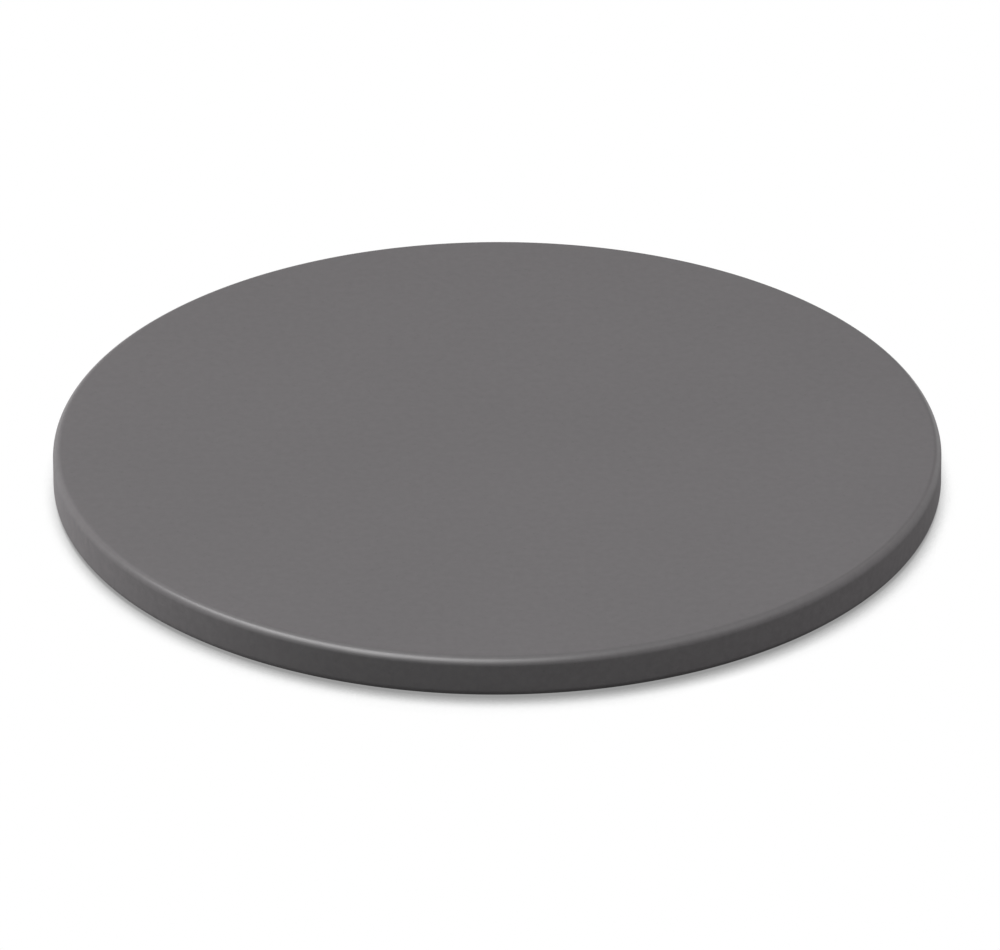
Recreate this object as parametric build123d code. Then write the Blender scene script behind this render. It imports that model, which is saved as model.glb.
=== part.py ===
from build123d import *
import os

# A round pizza stone: a pressed and fired slab, and the glaze fused over its top, its edges and its wall.
# The origin is the centre of the underside. +Z points up through the baking face.

# Overall sizes of the finished stone, glaze included
stone_diameter = 360.0
stone_thickness = 17.5

# Fired body: the press bevels its two edges at 45 degrees
body_top_bevel = 2.0
body_base_bevel = 2.5

# Glaze coat: the melt rounds both edges over, so it is thin at each corner of a bevel and thicker between them
glaze_thickness = 0.4
glaze_edge_radius = 3.4

# Glaze line: the foot is wiped clean up to this height, and the coat ends there in a rolled lip
glaze_line_height = 0.9
glaze_lip_radius = 0.25

# How far the wiping cut runs past what it cuts
cut_overrun = 2.0

# Places that follow from the sizes above
stone_radius = stone_diameter / 2
body_radius = stone_radius - glaze_thickness
body_top = stone_thickness - glaze_thickness


def half_section(width, height):
    # Half of a plain slab's section, from its axis out to its wall, standing on the underside's plane
    return Plane.XZ * Rectangle(width, height, align=(Align.MIN, Align.MIN))


def wall_corner(section, end):
    # The corner at the foot of the wall is end 0, and the one at its head is end -1
    return section.vertices().group_by(Axis.X)[-1].sort_by(Axis.Z)[end]


def body_section():
    section = half_section(body_radius, body_top)
    section = chamfer(wall_corner(section, -1), body_top_bevel)
    return chamfer(wall_corner(section, 0), body_base_bevel)


def coat_section():
    # The coat is what the glazed outside holds beyond the body, so the two meet face to face
    outside = half_section(stone_radius, stone_thickness)
    outside = fillet(wall_corner(outside, -1), glaze_edge_radius)
    outside = fillet(wall_corner(outside, 0), glaze_edge_radius)
    wiped_foot = Pos(0, 0, -cut_overrun) * half_section(stone_radius + cut_overrun, cut_overrun + glaze_line_height)
    coat = outside - body_section() - wiped_foot
    lip_corner = coat.vertices().group_by(Axis.Z)[0].sort_by(Axis.X)[-1]
    return fillet(lip_corner, glaze_lip_radius)


def build_stone_body():
    return revolve(body_section(), axis=Axis.Z)


def build_glaze_coat():
    return revolve(coat_section(), axis=Axis.Z)


def write_part(solid, name):
    solid.label = name
    export_step(solid, f"parts/{name}.step")


os.makedirs("parts", exist_ok=True)
write_part(build_stone_body(), "stone_body")
write_part(build_glaze_coat(), "glaze_coat")
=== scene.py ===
# A round glazed pizza stone on a white studio floor, in metres, with +Z up through its baking face
import bmesh
import bpy
import math
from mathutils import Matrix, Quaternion, Vector, noise


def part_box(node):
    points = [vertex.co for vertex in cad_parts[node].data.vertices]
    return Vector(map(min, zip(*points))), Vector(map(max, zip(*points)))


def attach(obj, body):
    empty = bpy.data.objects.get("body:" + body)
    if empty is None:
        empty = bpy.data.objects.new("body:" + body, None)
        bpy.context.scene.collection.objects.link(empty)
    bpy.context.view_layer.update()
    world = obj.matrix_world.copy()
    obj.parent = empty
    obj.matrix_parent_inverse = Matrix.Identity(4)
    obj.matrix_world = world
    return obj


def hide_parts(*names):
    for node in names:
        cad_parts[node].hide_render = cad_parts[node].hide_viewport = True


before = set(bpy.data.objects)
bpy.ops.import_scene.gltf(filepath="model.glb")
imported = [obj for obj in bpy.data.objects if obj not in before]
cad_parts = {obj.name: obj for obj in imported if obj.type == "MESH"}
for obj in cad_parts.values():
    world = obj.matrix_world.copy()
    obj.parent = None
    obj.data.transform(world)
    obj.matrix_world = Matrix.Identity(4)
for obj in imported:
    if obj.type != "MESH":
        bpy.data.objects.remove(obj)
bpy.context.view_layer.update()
coatLow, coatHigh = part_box("glaze_coat")
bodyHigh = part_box("stone_body")[1]
print("frame loaded:", ", ".join(sorted(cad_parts)))

mm = 0.001
sameSpot = 0.001 * mm        # points closer than this are one point
sameRing = 0.02 * mm        # a long spin drifts by less than this
crispAngle = math.radians(35)        # an edge that turns more than this stays crisp

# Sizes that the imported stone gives
stoneTop = coatHigh.z
stoneRadius = coatHigh.x
glazeLine = coatLow.z
bodyTop = bodyHigh.z
bodyRadius = bodyHigh.x
stoneMiddle = Vector((0, 0, stoneTop / 2))

# The pressed 45 degree bevels of the body, which the coat is seated on
topBevel = 2.0 * mm
baseBevel = 2.5 * mm


# Shared modelling helpers

def radiusOf(vert):
    return math.hypot(vert.co.x, vert.co.y)


def spinOutline(outline, turnSteps):
    # turns a line of (radius, height) points into a closed shell round Z
    bm = bmesh.new()
    verts = [bm.verts.new((radius, 0, height)) for radius, height in outline]
    edges = [bm.edges.new(pair) for pair in zip(verts, verts[1:])]
    bmesh.ops.spin(bm, geom=verts + edges, cent=(0, 0, 0), axis=(0, 0, 1), dvec=(0, 0, 0),
                   angle=2 * math.pi, steps=turnSteps, use_merge=True, use_duplicate=False)
    bmesh.ops.remove_doubles(bm, verts=bm.verts, dist=sameSpot)
    bmesh.ops.recalc_face_normals(bm, faces=bm.faces)
    return bm


def ringAt(bm, radius, height):
    # the edges of the circle at that radius and height
    def onRing(vert):
        return abs(radiusOf(vert) - radius) < sameRing and abs(vert.co.z - height) < sameRing
    return [edge for edge in bm.edges if onRing(edge.verts[0]) and onRing(edge.verts[1])]


def bevelRing(bm, radius, height, offset, segments):
    bmesh.ops.bevel(bm, geom=ringAt(bm, radius, height), offset=offset, offset_type="OFFSET",
                    segments=segments, profile=0.5, affect="EDGES", material=-1, clamp_overlap=True)


def carryRing(bm, ring, radius, height):
    # extrudes an open ring of edges and sets the new ring at a radius and a height
    grown = bmesh.ops.extrude_edge_only(bm, edges=ring)["geom"]
    for vert in (item for item in grown if isinstance(item, bmesh.types.BMVert)):
        share = radius / radiusOf(vert)
        vert.co = Vector((vert.co.x * share, vert.co.y * share, height))
    return [item for item in grown if isinstance(item, bmesh.types.BMEdge) and item.is_boundary]


def openRing(bm):
    return [edge for edge in bm.edges if edge.is_boundary]


def finishPiece(bm, name, material, node):
    # smooth faces with crisp arrises, then one object at the origin that stands for its node
    for face in bm.faces:
        face.smooth = True
    for edge in bm.edges:
        edge.smooth = edge.calc_face_angle(0) < crispAngle
    mesh = bpy.data.meshes.new(name)
    bm.to_mesh(mesh)
    bm.free()
    mesh.materials.append(material)
    piece = bpy.data.objects.new(name, mesh)
    bpy.context.scene.collection.objects.link(piece)
    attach(piece, "root")
    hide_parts(node)
    mesh.calc_loop_triangles()
    print("made", name, "with", len(mesh.loop_triangles), "triangles")


# Shared material helpers

noiseRange = (0.3, 0.7)        # where nearly all of a noise lies
spotReach = 0.42        # the share of its cell that the largest spot reaches


def addNode(tree, kind, inputs=None, **settings):
    # each input takes a link from a socket, or else a plain value
    node = tree.nodes.new(kind)
    for name, value in settings.items():
        setattr(node, name, value)
    for name, value in (inputs or {}).items():
        if isinstance(value, bpy.types.NodeSocket):
            tree.links.new(value, node.inputs[name])
        else:
            node.inputs[name].default_value = value
    return node


def newMaterial(name):
    material = bpy.data.materials.new(name)
    material.use_nodes = True
    material.node_tree.nodes.clear()
    return material, material.node_tree


def calculate(tree, operation, *values):
    return addNode(tree, "ShaderNodeMath", dict(enumerate(values)), operation=operation).outputs[0]


def stretch(tree, value, low, high, toLow=0.0, toHigh=1.0):
    # what runs from low to high is made to run between two other values, and is held there
    node = addNode(tree, "ShaderNodeMapRange",
                   {"Value": value, "From Min": low, "From Max": high, "To Min": toLow, "To Max": toHigh})
    return node.outputs[0]


def blendColours(tree, share, first, second, kind="MIX"):
    node = addNode(tree, "ShaderNodeMix", {0: share, 6: first, 7: second}, data_type="RGBA", blend_type=kind)
    return node.outputs[2]


def grain(tree, place, size, detail=2.0, roughness=0.5):
    # soft noise whose lumps are about that size across, from 0 to 1
    node = addNode(tree, "ShaderNodeTexNoise",
                   {"Vector": place, "Scale": 1 / size, "Detail": detail, "Roughness": roughness})
    return node.outputs["Fac"]


def spots(tree, place, size, share, edge):
    # round spots of up to that size in that share of the cells, which are 1 inside and 0 outside
    cells = addNode(tree, "ShaderNodeTexVoronoi", {"Vector": place, "Scale": 1 / size})
    pick = addNode(tree, "ShaderNodeTexWhiteNoise", {"Vector": cells.outputs["Position"]}).outputs["Value"]
    reach = stretch(tree, pick, 1 - share, 1, 0, spotReach)
    inside = calculate(tree, "SUBTRACT", reach, cells.outputs["Distance"])
    return stretch(tree, inside, 0, edge)


def bumpFrom(tree, height, distance, before=None):
    inputs = {"Height": height, "Distance": distance, "Strength": 1.0}
    if before:
        inputs["Normal"] = before
    return addNode(tree, "ShaderNodeBump", inputs).outputs[0]


print("helpers ready")

# The glaze coat: what the melted glaze covers, from the baking face round to the wiped foot

glazeCoat = {
    "edgeRadius": 3.4 * mm,        # the melt rounds both edges over
    "edgeSegments": 20,
    "lipOffset": 0.1 * mm,        # the rolled lip where the coat ends
    "lipSegments": 3,
    "shadingRim": 0.3 * mm,        # a close ring beside each round keeps the flats flat
    "faceRings": 14,
    "wallRings": 5,
    "turnSteps": 600,
    "faceTilt": 0.3,        # a normal that rises more than this belongs to the face
    "poolDepth": 0.03 * mm,        # how unevenly the glaze pooled on the face
    "poolSize": 70 * mm,
    "wallSag": 0.03 * mm,        # how unevenly it ran on the wall
    "wallSagSize": 22 * mm,
    "wallSagPlace": (7, 3, 5),        # where in the noise the wall is read, away from the face
    "lineWander": 0.12 * mm,        # how far the wiped line wanders
    "lineWanderSize": 30 * mm,
    "lineWanderPlace": (2, 9, 4),
}


def coatOutline(size):
    # the outside, from the middle of the baking face down to the plane of the underside
    radius = stoneRadius - size["wallSag"]
    rim = radius - size["edgeRadius"] - size["shadingRim"]
    upper = stoneTop - size["edgeRadius"] - size["shadingRim"]
    lower = size["edgeRadius"] + size["shadingRim"]
    faceRings, wallRings = size["faceRings"], size["wallRings"]
    face = [(rim * step / faceRings, stoneTop) for step in range(faceRings + 1)]
    wall = [(radius, upper + (lower - upper) * step / wallRings) for step in range(wallRings + 1)]
    return face + [(radius, stoneTop)] + wall + [(radius, 0), (rim, 0)]


def makeCoatMesh(size):
    radius = stoneRadius - size["wallSag"]
    bm = spinOutline(coatOutline(size), size["turnSteps"])
    bevelRing(bm, radius, stoneTop, size["edgeRadius"], size["edgeSegments"])
    bevelRing(bm, radius, 0, size["edgeRadius"], size["edgeSegments"])
    everything = bm.verts[:] + bm.edges[:] + bm.faces[:]
    bmesh.ops.bisect_plane(bm, geom=everything, dist=sameSpot, plane_co=(0, 0, glazeLine),
                           plane_no=(0, 0, 1), clear_inner=True)
    # the wiped line: a land across to the body, whose outer corner is rolled
    lip = openRing(bm)
    carryRing(bm, lip, bodyRadius - baseBevel + glazeLine, glazeLine)
    bmesh.ops.bevel(bm, geom=lip, offset=size["lipOffset"], offset_type="OFFSET",
                    segments=size["lipSegments"], profile=0.5, affect="EDGES", material=-1)
    # the inner wall and ceiling, which lie on the body
    ring = carryRing(bm, openRing(bm), bodyRadius, baseBevel)
    ring = carryRing(bm, ring, bodyRadius, bodyTop - topBevel)
    ring = carryRing(bm, ring, bodyRadius - topBevel, bodyTop)
    ceiling = bmesh.ops.holes_fill(bm, edges=ring, sides=0)["faces"]
    bmesh.ops.poke(bm, faces=ceiling)
    bmesh.ops.recalc_face_normals(bm, faces=bm.faces)
    return bm


def unevenGlaze(bm, size):
    # the face dips, the wall swells and the wiped line wanders, by hundredths of a millimetre
    bm.normal_update()
    sagPlace, linePlace = Vector(size["wallSagPlace"]), Vector(size["lineWanderPlace"])
    moves = []
    for vert in bm.verts:
        dip = (noise.noise(vert.co / size["poolSize"]) - 1) / 2        # from -1 to 0
        swell = noise.noise(vert.co / size["wallSagSize"] + sagPlace)
        wander = noise.noise(vert.co / size["lineWanderSize"] + linePlace)
        nearLine = max(0.0, 1 - (vert.co.z - glazeLine) / size["edgeRadius"])
        outward = Vector((vert.co.x, vert.co.y, 0)).normalized()
        move = Vector((0, 0, 0))
        if vert.normal.z > size["faceTilt"] and vert.co.z > bodyTop + sameRing:
            move.z += size["poolDepth"] * dip
        if radiusOf(vert) > bodyRadius + sameRing:
            move += outward * size["wallSag"] * swell
        if vert.co.z < baseBevel - sameRing:
            move += (outward + Vector((0, 0, 1))) * size["lineWander"] * wander * nearLine
        moves.append(move)
    for vert, move in zip(bm.verts, moves):
        vert.co += move


glazeFinish = {
    "colour": (0.1065, 0.1000, 0.1032),        # dark grey, a touch warm
    "ior": 1.45,
    "roughness": (0.82, 0.86),        # the face and the wall are matt
    "rimRoughness": (0.37, 0.41),        # the rim is rubbed smoother by hands
    "rimFrom": (17.40 * mm, 17.05 * mm),        # the heights between which the face turns into the rim
    "wallFrom": (16.8 * mm, 14.0 * mm),        # and the rim into the wall
    "cloudSize": 90 * mm,        # broad, faint clouds in the colour
    "cloudContrast": 0.025,
    "patchSize": 22.5 * mm,        # patches of slightly other roughness
    "mottleSize": 3.5 * mm,        # the fine mottle of the pigment
    "mottleContrast": 0.05,
    "wallMottle": 0.09,
    "speckSize": 1.6 * mm,        # sparse specks of iron
    "speckShare": 0.10,
    "speckEdge": 0.08,
    "speckColour": (0.045, 0.043, 0.044, 1),
    "speckStrength": 0.15,
    "waveSize": 14 * mm,        # slow waves
    "waveDepth": 0.012 * mm,
    "peelSize": 1.8 * mm,        # orange peel
    "peelDepth": 0.0025 * mm,
    "pinSize": 5 * mm,        # burst pinholes
    "pinShare": 0.05,
    "pinEdge": 0.05,
    "pinDepth": 0.012 * mm,
}


def glazeColour(tree, place, onWall, finish):
    # clouds and mottle dim and lift the colour, then the specks lie over it
    clouds = stretch(tree, grain(tree, place, finish["cloudSize"], detail=3), *noiseRange,
                     1 - finish["cloudContrast"], 1 + finish["cloudContrast"])
    contrast = stretch(tree, onWall, 0, 1, finish["mottleContrast"], finish["wallMottle"])
    lumps = stretch(tree, grain(tree, place, finish["mottleSize"], detail=4, roughness=0.6), *noiseRange, -1, 1)
    mottle = calculate(tree, "MULTIPLY_ADD", lumps, contrast, 1.0)
    tone = calculate(tree, "MULTIPLY", clouds, mottle)
    base = addNode(tree, "ShaderNodeVectorMath", {0: finish["colour"], "Scale": tone}, operation="SCALE")
    specks = spots(tree, place, finish["speckSize"], finish["speckShare"], finish["speckEdge"])
    speckShare = stretch(tree, specks, 0, 1, 0, finish["speckStrength"])
    return blendColours(tree, speckShare, base.outputs[0], finish["speckColour"])


def glazeRoughness(tree, place, height, onWall, finish):
    # matt on the face and the wall, and smoother on the rim between them
    offFace = stretch(tree, height, *finish["rimFrom"])
    offWall = stretch(tree, onWall, 0, 1, 1, 0)
    onRim = calculate(tree, "MULTIPLY", offFace, offWall)
    patches = grain(tree, place, finish["patchSize"], detail=4)
    matt = stretch(tree, patches, *noiseRange, *finish["roughness"])
    rubbed = stretch(tree, patches, *noiseRange, *finish["rimRoughness"])
    return addNode(tree, "ShaderNodeMix", {0: onRim, 2: matt, 3: rubbed}).outputs[0]


def glazeRelief(tree, place, finish):
    waves = bumpFrom(tree, grain(tree, place, finish["waveSize"], detail=1), finish["waveDepth"])
    peel = bumpFrom(tree, grain(tree, place, finish["peelSize"], detail=2), finish["peelDepth"], waves)
    pins = spots(tree, place, finish["pinSize"], finish["pinShare"], finish["pinEdge"])
    return bumpFrom(tree, stretch(tree, pins, 0, 1, 1, 0), finish["pinDepth"], peel)


def makeGlaze(finish):
    material, tree = newMaterial("satinGlaze")
    place = addNode(tree, "ShaderNodeTexCoord").outputs["Object"]
    height = addNode(tree, "ShaderNodeSeparateXYZ", {"Vector": place}).outputs["Z"]
    onWall = stretch(tree, height, *finish["wallFrom"])
    shader = addNode(tree, "ShaderNodeBsdfPrincipled", {
        "Base Color": glazeColour(tree, place, onWall, finish),
        "Roughness": glazeRoughness(tree, place, height, onWall, finish),
        "Normal": glazeRelief(tree, place, finish),
        "IOR": finish["ior"],
    })
    addNode(tree, "ShaderNodeOutputMaterial", {"Surface": shader.outputs[0]})
    return material


coatMesh = makeCoatMesh(glazeCoat)
unevenGlaze(coatMesh, glazeCoat)
finishPiece(coatMesh, "glazeCoat", makeGlaze(glazeFinish), "glaze_coat")

# The fired body under it: a pressed slab of cordierite, bare on its underside and at the foot

stoneBody = {
    "arris": 0.3 * mm,        # the bare corners of the foot are worn a little
    "arrisSegments": 3,
    "turnSteps": 600,
    "baseRings": 12,
    "baseRingsTo": 0.95,        # the share of the radius that those rings reach
}


def makeBodyMesh(size):
    rings = size["baseRings"]
    reach = bodyRadius * size["baseRingsTo"]
    base = [(reach * step / rings, 0) for step in range(rings + 1)]
    bm = spinOutline(base + [(bodyRadius, 0), (bodyRadius, bodyTop), (0, bodyTop)], size["turnSteps"])
    bevelRing(bm, bodyRadius, bodyTop, topBevel, segments=1)
    bevelRing(bm, bodyRadius, 0, baseBevel, segments=1)
    bevelRing(bm, bodyRadius - baseBevel, 0, size["arris"], size["arrisSegments"])
    return bm


bodyFinish = {
    "colour": (0.45, 0.34, 0.23, 1),        # fired cordierite
    "paleColour": (0.55, 0.45, 0.33, 1),
    "paleRange": (0.35, 0.65),
    "cloudSize": 60 * mm,
    "roughness": (0.82, 0.95),
    "diffuseRoughness": 0.6,
    "grainSize": 1.1 * mm,
    "grainRange": (0.3, 0.75),
    "grainStrength": 0.35,
    "grainDepth": 0.05 * mm,
    "grogSize": 3.2 * mm,        # crushed fired clay in the body
    "grogShare": 0.25,
    "grogColour": (0.20, 0.13, 0.08, 1),
    "grogStrength": 0.6,
    "poreSize": 1.5 * mm,
    "poreShare": 0.18,
    # the pores are painted darker as well: painted shade inside the holes
    "poreShadeColour": (0.12, 0.085, 0.06, 1),
    "poreShadeStrength": 0.8,
    "poreDepth": 0.12 * mm,
    "spotEdge": 0.1,        # how soft the edges of the grog and the pores are
    "toastColour": (0.30, 0.18, 0.10, 1),
    "toastWidth": 4 * mm,        # the ring beside the glaze line that the kiln toasts
    "toastStrength": 0.6,
}


def toastAt(tree, place, finish):
    # grows towards the glaze line
    flat = addNode(tree, "ShaderNodeVectorMath", {0: place, 1: (1, 1, 0)}, operation="MULTIPLY").outputs[0]
    fromAxis = addNode(tree, "ShaderNodeVectorMath", {0: flat}, operation="LENGTH").outputs["Value"]
    edge = bodyRadius - baseBevel + glazeLine
    return stretch(tree, fromAxis, edge - finish["toastWidth"], edge, 0, finish["toastStrength"])


def makeFiredBody(finish):
    material, tree = newMaterial("firedCordierite")
    place = addNode(tree, "ShaderNodeTexCoord").outputs["Object"]
    clouds = grain(tree, place, finish["cloudSize"], detail=4)
    fine = grain(tree, place, finish["grainSize"], detail=5, roughness=0.65)
    grog = spots(tree, place, finish["grogSize"], finish["grogShare"], finish["spotEdge"])
    pores = spots(tree, place, finish["poreSize"], finish["poreShare"], finish["spotEdge"])
    pale = stretch(tree, clouds, *finish["paleRange"])
    dark = stretch(tree, fine, *finish["grainRange"], 0, finish["grainStrength"])
    grogShare = stretch(tree, grog, 0, 1, 0, finish["grogStrength"])
    poreShare = stretch(tree, pores, 0, 1, 0, finish["poreShadeStrength"])
    colour = blendColours(tree, pale, finish["colour"], finish["paleColour"])
    colour = blendColours(tree, dark, colour, finish["grogColour"])
    colour = blendColours(tree, grogShare, colour, finish["grogColour"])
    # painted shade: the colour is darkened inside the pores, on top of the bump that sinks them
    colour = blendColours(tree, poreShare, colour, finish["poreShadeColour"])
    colour = blendColours(tree, toastAt(tree, place, finish), colour, finish["toastColour"], "MULTIPLY")
    grainBump = bumpFrom(tree, fine, finish["grainDepth"])
    shader = addNode(tree, "ShaderNodeBsdfPrincipled", {
        "Base Color": colour,
        "Roughness": stretch(tree, fine, *noiseRange, *finish["roughness"]),
        "Normal": bumpFrom(tree, stretch(tree, pores, 0, 1, 1, 0), finish["poreDepth"], grainBump),
        "Diffuse Roughness": finish["diffuseRoughness"],
    })
    addNode(tree, "ShaderNodeOutputMaterial", {"Surface": shader.outputs[0]})
    return material


finishPiece(makeBodyMesh(stoneBody), "stoneBody", makeFiredBody(bodyFinish), "stone_body")

# The studio: a white floor and backdrop to the eye and to gloss, which throw little light back on the stone

studio = {
    "white": (1, 1, 1, 1),
    "floorSize": 8.0,
    "floorBounce": (0.17, 0.17, 0.17, 1),        # what the stone gets back from the floor
    "shadeLean": (-0.05, 0.40, 0.915),        # the sky that shades the floor leans back over the stone
    "shadeReach": 60 * mm,        # how far off the stone can shade the floor
    "shadeSamples": 16,
    "shadeOpen": (0.34, 0.617),        # how open the floor is at the foot, and where it is white again
    "shadeCurve": 1.4,        # how the shade thins out between them
    "shadeDepth": 0.317,        # how light the floor is at the foot
    "ambient": 0.06,
    "lampsAway": 2.6,        # metres from the middle of the stone to every softbox
}


def showsWhite(tree):
    # 1 for the rays that show the white setting, and 0 for the light that it gives back
    path = addNode(tree, "ShaderNodeLightPath").outputs
    direct = calculate(tree, "MAXIMUM", path["Is Camera Ray"], path["Is Glossy Ray"])
    return calculate(tree, "MAXIMUM", direct, path["Is Transmission Ray"])


def floorShade(tree, setting):
    # 1 on the open floor, and darker where the stone hides much of the sky
    lean = addNode(tree, "ShaderNodeCombineXYZ", dict(zip("XYZ", setting["shadeLean"]))).outputs[0]
    openness = addNode(tree, "ShaderNodeAmbientOcclusion", {"Distance": setting["shadeReach"], "Normal": lean},
                       samples=setting["shadeSamples"]).outputs["AO"]
    curved = calculate(tree, "POWER", stretch(tree, openness, *setting["shadeOpen"]), setting["shadeCurve"])
    return stretch(tree, curved, 0, 1, setting["shadeDepth"], 1)


def makeFloor(setting):
    material, tree = newMaterial("whiteFloor")
    dull = addNode(tree, "ShaderNodeBsdfDiffuse", {"Color": setting["floorBounce"]}).outputs[0]
    shade = floorShade(tree, setting)
    white = addNode(tree, "ShaderNodeEmission", {"Color": setting["white"], "Strength": shade}).outputs[0]
    surface = addNode(tree, "ShaderNodeMixShader", {0: showsWhite(tree), 1: dull, 2: white}).outputs[0]
    addNode(tree, "ShaderNodeOutputMaterial", {"Surface": surface})
    material.cycles.emission_sampling = "NONE"
    bm = bmesh.new()
    bmesh.ops.create_grid(bm, x_segments=1, y_segments=1, size=setting["floorSize"] / 2)
    mesh = bpy.data.meshes.new("floor")
    bm.to_mesh(mesh)
    bm.free()
    mesh.materials.append(material)
    floor = bpy.data.objects.new("floor", mesh)
    bpy.context.scene.collection.objects.link(floor)


def makeWorld(setting):
    world = bpy.data.worlds.new("studioWorld")
    world.use_nodes = True
    tree = world.node_tree
    tree.nodes.clear()
    soft, white = [addNode(tree, "ShaderNodeBackground", {"Color": setting["white"], "Strength": strength})
                   for strength in (setting["ambient"], 1.0)]
    surface = addNode(tree, "ShaderNodeMixShader",
                      {0: showsWhite(tree), 1: soft.outputs[0], 2: white.outputs[0]}).outputs[0]
    addNode(tree, "ShaderNodeOutputWorld", {"Surface": surface})
    world.cycles.sampling_method = "NONE"
    bpy.context.scene.world = world


# Softboxes, each by where it hangs, in degrees round from +X and above the floor, by its size in metres, and
# by what it lights: the two in front give the sheen along the near edge, and the low one lights the left wall

softboxes = {
    "leftSheen": {"around": 190.0, "above": 44.5, "size": (1.40, 0.98), "watts": 55.0, "seenIn": "gloss"},
    "frontSheen": {"around": 244.0, "above": 40.0, "size": (2.10, 2.25), "watts": 160.0, "seenIn": "gloss"},
    "overhead": {"around": 260.0, "above": 78.0, "size": (4.0, 1.9), "watts": 38.0, "seenIn": "both"},
    "right": {"around": 350.0, "above": 45.0, "size": (1.4, 1.0), "watts": 29.0, "seenIn": "colour"},
    "leftFill": {"around": 160.0, "above": 15.0, "size": (1.2, 1.0), "watts": 80.0, "seenIn": "colour"},
}


def hangSoftbox(name, box, away):
    light = bpy.data.lights.new(name, "AREA")
    light.shape = "RECTANGLE"
    light.size, light.size_y = box["size"]
    light.energy = box["watts"]
    lamp = bpy.data.objects.new(name, light)
    around = math.radians(box["around"])
    above = math.radians(box["above"])
    toLamp = Vector((math.cos(around) * math.cos(above), math.sin(around) * math.cos(above), math.sin(above)))
    lamp.location = stoneMiddle + toLamp * away
    lamp.rotation_mode = "QUATERNION"
    lamp.rotation_quaternion = (-toLamp).to_track_quat("-Z", "Y")
    lamp.visible_camera = False
    lamp.visible_diffuse = box["seenIn"] != "gloss"
    lamp.visible_glossy = box["seenIn"] != "colour"
    bpy.context.scene.collection.objects.link(lamp)


makeFloor(studio)
makeWorld(studio)
for boxName, softbox in softboxes.items():
    hangSoftbox(boxName, softbox, studio["lampsAway"])
print("studio ready with", len(softboxes), "softboxes")

# The camera, at the photograph's viewing angle

viewpoint = {
    "above": 28.272,        # degrees above the floor
    "away": 5.4,        # metres from the middle of the stone
    "tilt": 0.129,        # degrees that the photograph leans
    "lens": 479.5,
    "sensor": 36.0,
    "clip": (0.1, 100.0),
    "pictureSize": (1000, 950),
    "stoneMiddlePixel": (497.22, 462.03),        # where the middle of the stone stands in the picture
}


def makeCamera(view):
    camera = bpy.data.cameras.new("camera")
    camera.lens = view["lens"]
    camera.sensor_width = view["sensor"]
    camera.clip_start, camera.clip_end = view["clip"]
    above = math.radians(view["above"])
    tilt = math.radians(view["tilt"])
    back = Vector((0, -math.cos(above), math.sin(above)))
    across = Vector((1, 0, 0))
    upward = back.cross(across)
    pictureRight = across * math.cos(tilt) - upward * math.sin(tilt)
    pictureUp = across * math.sin(tilt) + upward * math.cos(tilt)
    metresPerPixel = view["away"] * view["sensor"] / view["lens"] / view["pictureSize"][0]
    right = (view["pictureSize"][0] / 2 - view["stoneMiddlePixel"][0]) * metresPerPixel
    down = (view["pictureSize"][1] / 2 - view["stoneMiddlePixel"][1]) * metresPerPixel
    target = stoneMiddle + pictureRight * right - pictureUp * down
    eye = bpy.data.objects.new("camera", camera)
    eye.location = stoneMiddle + back * view["away"]
    eye.rotation_mode = "QUATERNION"
    eye.rotation_quaternion = (target - eye.location).to_track_quat("-Z", "Y") @ Quaternion((0, 0, 1), -tilt)
    bpy.context.scene.collection.objects.link(eye)
    bpy.context.scene.camera = eye


makeCamera(viewpoint)
bpy.context.scene.view_settings.view_transform = "Standard"
print("camera ready")

# Bring the scene up to date
bpy.context.view_layer.update()
